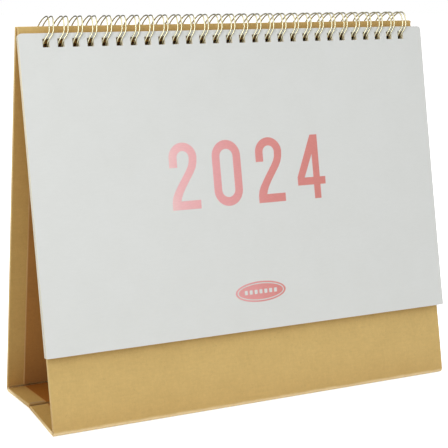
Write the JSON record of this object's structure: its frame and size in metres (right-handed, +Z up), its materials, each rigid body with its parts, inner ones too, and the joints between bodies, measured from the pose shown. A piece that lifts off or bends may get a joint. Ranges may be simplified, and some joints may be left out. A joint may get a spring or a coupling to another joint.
{
  "type": "flip desk calendar",
  "caption": "Tent-shaped flip desk calendar: kraft-wrapped folding board stand, double-loop wire binding and perforated flip leaves with a foil-numbered cover.",
  "frame": {"origin": "bottom centre of the bounding box, on the table, midway between the two crease lines", "axes": "+X along the wire, to the viewer's right; +Y from the page side to the back; +Z up"},
  "size_m": [0.2592, 0.0882, 0.2225],
  "materials": {
    "greyboard": "matte",
    "kraft_wrap": "matte kraft paper",
    "kraft_liner": "matte kraft paper",
    "champagne_wire": "satin champagne coating",
    "leaf_paper": "uncoated",
    "cover_card": "smooth uncoated card",
    "rose_foil": "hot-stamped rose foil"
  },
  "bodies": {
    "front_stand": {"front_board": "greyboard", "front_wrap": "kraft_wrap", "front_liner": "kraft_liner", "front_crease_spine": "kraft_wrap", "wire_binding": "champagne_wire"},
    "back_panel": {"back_board": "greyboard", "back_wrap": "kraft_wrap", "back_liner": "kraft_liner", "rear_crease_spine": "kraft_wrap"},
    "base_front": {"base_front_board": "greyboard", "base_front_wrap": "kraft_wrap", "base_front_liner": "kraft_liner", "mid_crease_front_leaf": "kraft_wrap"},
    "base_rear": {"base_rear_board": "greyboard", "base_rear_wrap": "kraft_wrap", "base_rear_liner": "kraft_liner", "mid_crease_rear_leaf": "kraft_wrap"},
    "leaf_margins": {"leaf_binding_margins": "leaf_paper"},
    "cover": {"cover_leaf": "cover_card", "foil_numerals": "rose_foil", "foil_badge": "rose_foil"},
    "sheet_01": {"month_leaf_01": "leaf_paper"},
    "sheet_02": {"month_leaf_02": "leaf_paper"},
    "sheet_03": {"month_leaf_03": "leaf_paper"},
    "sheet_04": {"month_leaf_04": "leaf_paper"},
    "sheet_05": {"month_leaf_05": "leaf_paper"},
    "sheet_06": {"month_leaf_06": "leaf_paper"},
    "sheet_07": {"month_leaf_07": "leaf_paper"},
    "sheet_08": {"month_leaf_08": "leaf_paper"},
    "sheet_09": {"month_leaf_09": "leaf_paper"},
    "sheet_10": {"month_leaf_10": "leaf_paper"},
    "sheet_11": {"month_leaf_11": "leaf_paper"},
    "sheet_12": {"month_leaf_12": "leaf_paper"}
  },
  "joints": [
    {"name": "stand_fold", "type": "hinge", "parent": "front_stand", "child": "back_panel", "pos_m": [0, 0, 0.21362], "axis": [-1, 0, 0], "range_deg": [0, 20]},
    {"name": "base_front_fold", "type": "hinge", "parent": "front_stand", "child": "base_front", "pos_m": [0, -0.04148, 0.0026], "axis": [1, 0, 0], "range_deg": [0, 75.2], "deforming": ["mid_crease_front_leaf"]},
    {"name": "base_rear_fold", "type": "hinge", "parent": "back_panel", "child": "base_rear", "pos_m": [0, 0.04148, 0.0026], "axis": [-1, 0, 0], "range_deg": [0, 75.2], "deforming": ["mid_crease_rear_leaf"]},
    {"name": "page_turn", "type": "hinge", "parent": "front_stand", "child": "leaf_margins", "pos_m": [0, 0, 0.21362], "axis": [-1, 0, 0], "range_deg": [0, 254.69], "deforming": ["leaf_binding_margins"]},
    {"name": "cover_swing", "type": "hinge", "parent": "leaf_margins", "child": "cover", "pos_m": [0, -0.00668, 0.20852], "axis": [-1, 0, 0], "range_deg": [0, 82.92]},
    {"name": "sheet_01_swing", "type": "hinge", "parent": "leaf_margins", "child": "sheet_01", "pos_m": [0, -0.00668, 0.20852], "axis": [-1, 0, 0], "range_deg": [0, 82.52]},
    {"name": "sheet_02_swing", "type": "hinge", "parent": "leaf_margins", "child": "sheet_02", "pos_m": [0, -0.00668, 0.20852], "axis": [-1, 0, 0], "range_deg": [0, 82.12]},
    {"name": "sheet_03_swing", "type": "hinge", "parent": "leaf_margins", "child": "sheet_03", "pos_m": [0, -0.00668, 0.20852], "axis": [-1, 0, 0], "range_deg": [0, 81.72]},
    {"name": "sheet_04_swing", "type": "hinge", "parent": "leaf_margins", "child": "sheet_04", "pos_m": [0, -0.00668, 0.20852], "axis": [-1, 0, 0], "range_deg": [0, 81.32]},
    {"name": "sheet_05_swing", "type": "hinge", "parent": "leaf_margins", "child": "sheet_05", "pos_m": [0, -0.00668, 0.20852], "axis": [-1, 0, 0], "range_deg": [0, 80.92]},
    {"name": "sheet_06_swing", "type": "hinge", "parent": "leaf_margins", "child": "sheet_06", "pos_m": [0, -0.00668, 0.20852], "axis": [-1, 0, 0], "range_deg": [0, 80.52]},
    {"name": "sheet_07_swing", "type": "hinge", "parent": "leaf_margins", "child": "sheet_07", "pos_m": [0, -0.00668, 0.20852], "axis": [-1, 0, 0], "range_deg": [0, 80.12]},
    {"name": "sheet_08_swing", "type": "hinge", "parent": "leaf_margins", "child": "sheet_08", "pos_m": [0, -0.00668, 0.20852], "axis": [-1, 0, 0], "range_deg": [0, 79.72]},
    {"name": "sheet_09_swing", "type": "hinge", "parent": "leaf_margins", "child": "sheet_09", "pos_m": [0, -0.00668, 0.20852], "axis": [-1, 0, 0], "range_deg": [0, 79.32]},
    {"name": "sheet_10_swing", "type": "hinge", "parent": "leaf_margins", "child": "sheet_10", "pos_m": [0, -0.00668, 0.20852], "axis": [-1, 0, 0], "range_deg": [0, 78.92]},
    {"name": "sheet_11_swing", "type": "hinge", "parent": "leaf_margins", "child": "sheet_11", "pos_m": [0, -0.00668, 0.20852], "axis": [-1, 0, 0], "range_deg": [0, 78.52]},
    {"name": "sheet_12_swing", "type": "hinge", "parent": "leaf_margins", "child": "sheet_12", "pos_m": [0, -0.00668, 0.20852], "axis": [-1, 0, 0], "range_deg": [0, 78.12]}
  ],
  "couplings": [
    {"joint": "base_front_fold", "follows": "stand_fold", "ratio": 3.76},
    {"joint": "base_rear_fold", "follows": "stand_fold", "ratio": 3.76},
    {"joint": "cover_swing", "follows": "page_turn", "ratio": 0.32554},
    {"joint": "sheet_01_swing", "follows": "page_turn", "ratio": 0.32397},
    {"joint": "sheet_02_swing", "follows": "page_turn", "ratio": 0.3224},
    {"joint": "sheet_03_swing", "follows": "page_turn", "ratio": 0.32083},
    {"joint": "sheet_04_swing", "follows": "page_turn", "ratio": 0.31926},
    {"joint": "sheet_05_swing", "follows": "page_turn", "ratio": 0.31769},
    {"joint": "sheet_06_swing", "follows": "page_turn", "ratio": 0.31612},
    {"joint": "sheet_07_swing", "follows": "page_turn", "ratio": 0.31455},
    {"joint": "sheet_08_swing", "follows": "page_turn", "ratio": 0.31298},
    {"joint": "sheet_09_swing", "follows": "page_turn", "ratio": 0.31141},
    {"joint": "sheet_10_swing", "follows": "page_turn", "ratio": 0.30984},
    {"joint": "sheet_11_swing", "follows": "page_turn", "ratio": 0.30827},
    {"joint": "sheet_12_swing", "follows": "page_turn", "ratio": 0.3067}
  ]
}
